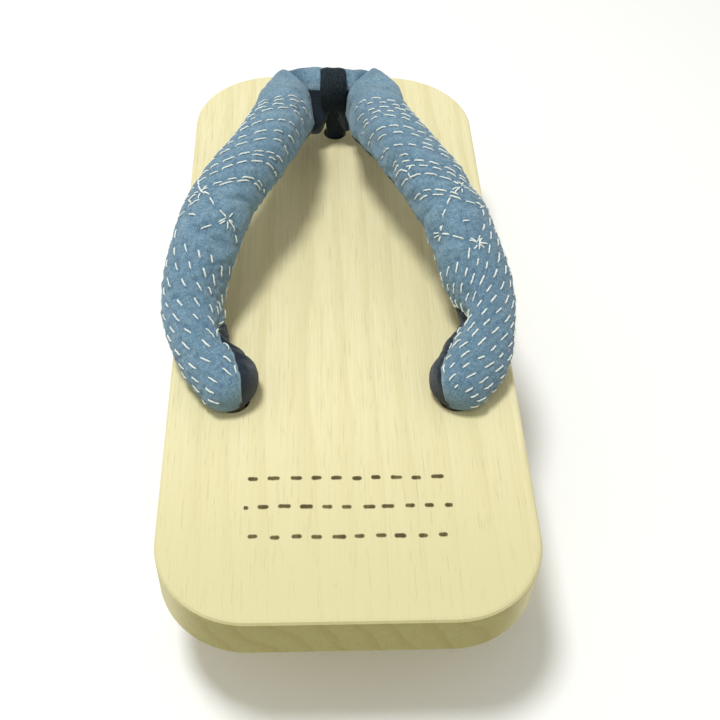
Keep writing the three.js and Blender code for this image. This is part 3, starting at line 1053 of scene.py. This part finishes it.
for side in (1, -1):
    skin = armSkin(side)
    stitches = allStitches(skin)
    pullIn(skin, stitches)
    fillOut(skin, armPins(skin))
    pressOnDeck(skin)
    skin.attribute("seam", seamDistance(skin))
    # painted shade in the quilted hollows next to each stitch
    skin.attribute("shade", np.exp(-((skin.held / 1.5) ** 2)))
    arm = skin.show(strapCloth)
    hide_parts("strap")
    stitchPiece(skin, stitches, threadFinish)
    print(skin.name, "made with", len(stitches), "stitches")

# the folded middle of the strap, from left to right; tilt turns its top toward the toe
noseRows = table("x y z halfDepth halfHeight tilt", [
    (-20.2, 88.2, 19.6, 2.0, 6.4, 10),
    (-17.0, 87.0, 19.0, 3.0, 8.2, 18),
    (-11.0, 84.8, 16.8, 4.6, 12.0, 29),
    (-6.0, 84.6, 16.6, 4.6, 12.0, 30),
    (-1.2, 85.6, 20.0, 3.8, 7.0, 10),
    (3.6, 84.8, 17.1, 4.6, 11.4, 25),
    (7.6, 85.2, 18.2, 4.4, 10.2, 20),
    (11.6, 87.0, 19.0, 3.0, 8.2, 18),
    (14.6, 88.2, 19.6, 2.0, 6.4, 10),
])

noseSet = {
    "along": 90,
    "around": 60,
    "squareness": 2.6,
    "pleats": 6,
    "pleatDepth": 0.7,
    "waist": 8.0,           # millimetres each side of the loop over which the pleats gather
    "lining": -74,          # degrees from the top, on the heel side, where the navy lining starts
}


def nosePoint(u, v):
    knots = column(noseRows, "x")
    x = blended(knots, knots, u)
    cap = endCap(u, 0.03)
    angle = (v - 0.5) * 2 * math.pi
    aside, rise = roundedUnit(angle, noseSet["squareness"])
    gathered = swell(x + 1.2, noseSet["waist"])
    fold = angle * noseSet["pleats"] + 0.22 * (x + 1.2) * math.cos(angle)
    pleat = math.cos(fold) * noseSet["pleatDepth"] * gathered
    lump = noise.noise(Vector((x / 5, angle * 1.3, 2.2))) * 0.6
    depth = read(noseRows, "halfDepth", knots, u) * cap
    height = read(noseRows, "halfHeight", knots, u) * cap
    tilt = math.radians(read(noseRows, "tilt", knots, u))
    toeward, up = aside * depth, rise * height
    toeward += (pleat + lump) * math.sin(angle) * cap
    up += (pleat + lump) * math.cos(angle) * cap
    return Vector((x, read(noseRows, "y", knots, u) + toeward * math.cos(tilt) + up * math.sin(tilt),
                   deckTop + read(noseRows, "z", knots, u) - toeward * math.sin(tilt) + up * math.cos(tilt)))


nose = RolledSkin("strap_nose", noseSet["along"], noseSet["around"], nosePoint, (34, 44))
noseDegrees = (np.arange(noseSet["around"]) / noseSet["around"] - 0.5) * 360
noseSeam = (noseDegrees - noseSet["lining"]) * 36 / 360
nose.attribute("seam", np.tile(np.minimum(noseSeam, 4.0), (noseSet["along"] + 1, 1)))
noseX = nose.grid[:, :, 0].mean(axis=1)
# painted shade at both ends of the nose band, under the arms' folded edges
noseShade = np.clip(np.maximum((-10.0 - noseX) / 6, (noseX - 6.5) / 5), 0, 1)
nose.attribute("shade", np.tile(1.45 * noseShade[:, None], (1, noseSet["around"])))
nosePiece = nose.show(strapCloth)
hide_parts("strap")
print("strap_nose made")

# one velvet band: up the heel side of the nose, over it and down the toe side, both ends in the front hole
loopRows = table("x y z halfWidth halfThick", [
    (0.0, 85.5, -12.0, 3.0, 1.55),
    (0.0, 85.4, 0.0, 3.2, 1.55),
    (-0.2, 84.6, 6.0, 3.5, 1.45),
    (-0.8, 81.6, 14.0, 4.2, 1.15),
    (-1.1, 79.6, 20.0, 4.9, 1.05),
    (-1.2, 80.3, 25.2, 5.0, 1.00),
    (-1.2, 83.2, 27.5, 4.9, 0.95),
    (-1.2, 88.6, 27.5, 4.9, 0.95),
    (-1.2, 91.5, 25.2, 5.0, 1.00),
    (-1.1, 92.2, 20.0, 4.9, 1.05),
    (-0.8, 90.8, 14.0, 4.2, 1.15),
    (-0.2, 89.2, 6.0, 3.5, 1.45),
    (0.0, 88.6, 0.0, 3.2, 1.55),
    (0.0, 88.5, -12.0, 3.0, 1.55),
])

loopSet = {"along": 150, "around": 36, "squareness": 3.2}

loopKnots = [0.0]
for first, second in zip(loopRows, loopRows[1:]):
    loopKnots.append(loopKnots[-1] + math.hypot(second["y"] - first["y"], second["z"] - first["z"]))


def loopCentre(u):
    x, y, z = (read(loopRows, name, loopKnots, u) for name in "xyz")
    return Vector((x, y, deckTop + z))


def loopPoint(u, v):
    centre = loopCentre(u)
    heading = (loopCentre(min(u + 0.003, 1)) - loopCentre(max(u - 0.003, 0))).normalized()
    across = Vector((1, 0, 0))
    out = across.cross(heading).normalized()
    angle = (v - 0.5) * 2 * math.pi
    aside, rise = roundedUnit(angle, loopSet["squareness"])
    cap = endCap(u, 0.01)
    width = read(loopRows, "halfWidth", loopKnots, u) * cap
    thick = read(loopRows, "halfThick", loopKnots, u) * cap
    ripple = 0.16 * math.sin(aside * 7 + u * 9) + 0.22 * noise.noise(Vector((aside * 2, u * 26, 5)))
    return centre + across * aside * width + out * (rise * thick + ripple * cap * (0.3 + 0.7 * abs(rise)))


loop = RolledSkin("toe_loop_band", loopSet["along"], loopSet["around"], loopPoint, (loopKnots[-1], 24))
loopPiece = loop.show(velvetFinish)
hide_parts("toe_loop")
print("toe_loop_band made")

# the cords and their knots under the deck
knotSet = {
    "cordRadius": 2.7,
    "turns": 2.0,
    "rise": 4.6,
    "gap": 0.3,
    "strands": 3,
    "strandDepth": 0.13,
    "twistEvery": 9.0,
    "along": 150,
    "around": 24,
    "tailBottom": 20.2,
}

cordEnds = table("name node goes x y radius top", [
    ("front", "front_knot", "toe_loop", 0.0, 87.0, 3.3, 40.0),
    ("rear_right", "rear_knot_right", "strap", 35.0, -49.0, 4.2, 53.0),
    ("rear_left", "rear_knot_left", "strap", -35.0, -49.0, 4.2, 53.0),
])


def strandRadius(radius, angle, distance):
    twist = distance * 2 * math.pi / knotSet["twistEvery"]
    lobes = math.cos(knotSet["strands"] * angle - twist)
    return radius * (1 - knotSet["strandDepth"] * (0.5 - 0.5 * lobes))


def makeCordEnd(end):
    ringRadius = end["radius"] + knotSet["gap"] + knotSet["cordRadius"]
    top = deckUnder - knotSet["gap"] - knotSet["cordRadius"]
    length = 2 * math.pi * ringRadius * knotSet["turns"]

    def knotPoint(u, v):
        turn = u * knotSet["turns"] * 2 * math.pi
        angle = (v - 0.5) * 2 * math.pi
        cap = endCap(u, 0.03)
        radius = strandRadius(knotSet["cordRadius"], angle, u * length) * cap
        share = min(max(turn / (2 * math.pi) - 0.5, 0.0), 1.0)
        drop = knotSet["rise"] * share
        out = Vector((math.cos(turn), math.sin(turn), 0))
        return (Vector((end["x"], end["y"], top - drop)) + out * (ringRadius + radius * math.sin(angle))
                + Vector((0, 0, 1)) * radius * math.cos(angle))

    knot = RolledSkin(end["name"] + "_cord_turns", knotSet["along"], knotSet["around"], knotPoint,
                      (length, 16))
    knotPiece = knot.show(cordFinish)
    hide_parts(end["node"])

    def tailPoint(u, v):
        angle = (v - 0.5) * 2 * math.pi
        cap = endCap(u, 0.04)
        drop = (end["top"] - knotSet["tailBottom"]) * u
        radius = strandRadius(end["radius"], angle, drop) * cap
        return Vector((end["x"] + radius * math.sin(angle), end["y"] + radius * math.cos(angle),
                       end["top"] - drop))

    tail = RolledSkin(end["name"] + "_cord_tail", 50, knotSet["around"], tailPoint, (20, 24))
    tailPiece = tail.show(cordFinish)
    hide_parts(end["goes"])


for end in cordEnds:
    makeCordEnd(end)
print("cords and knots made")
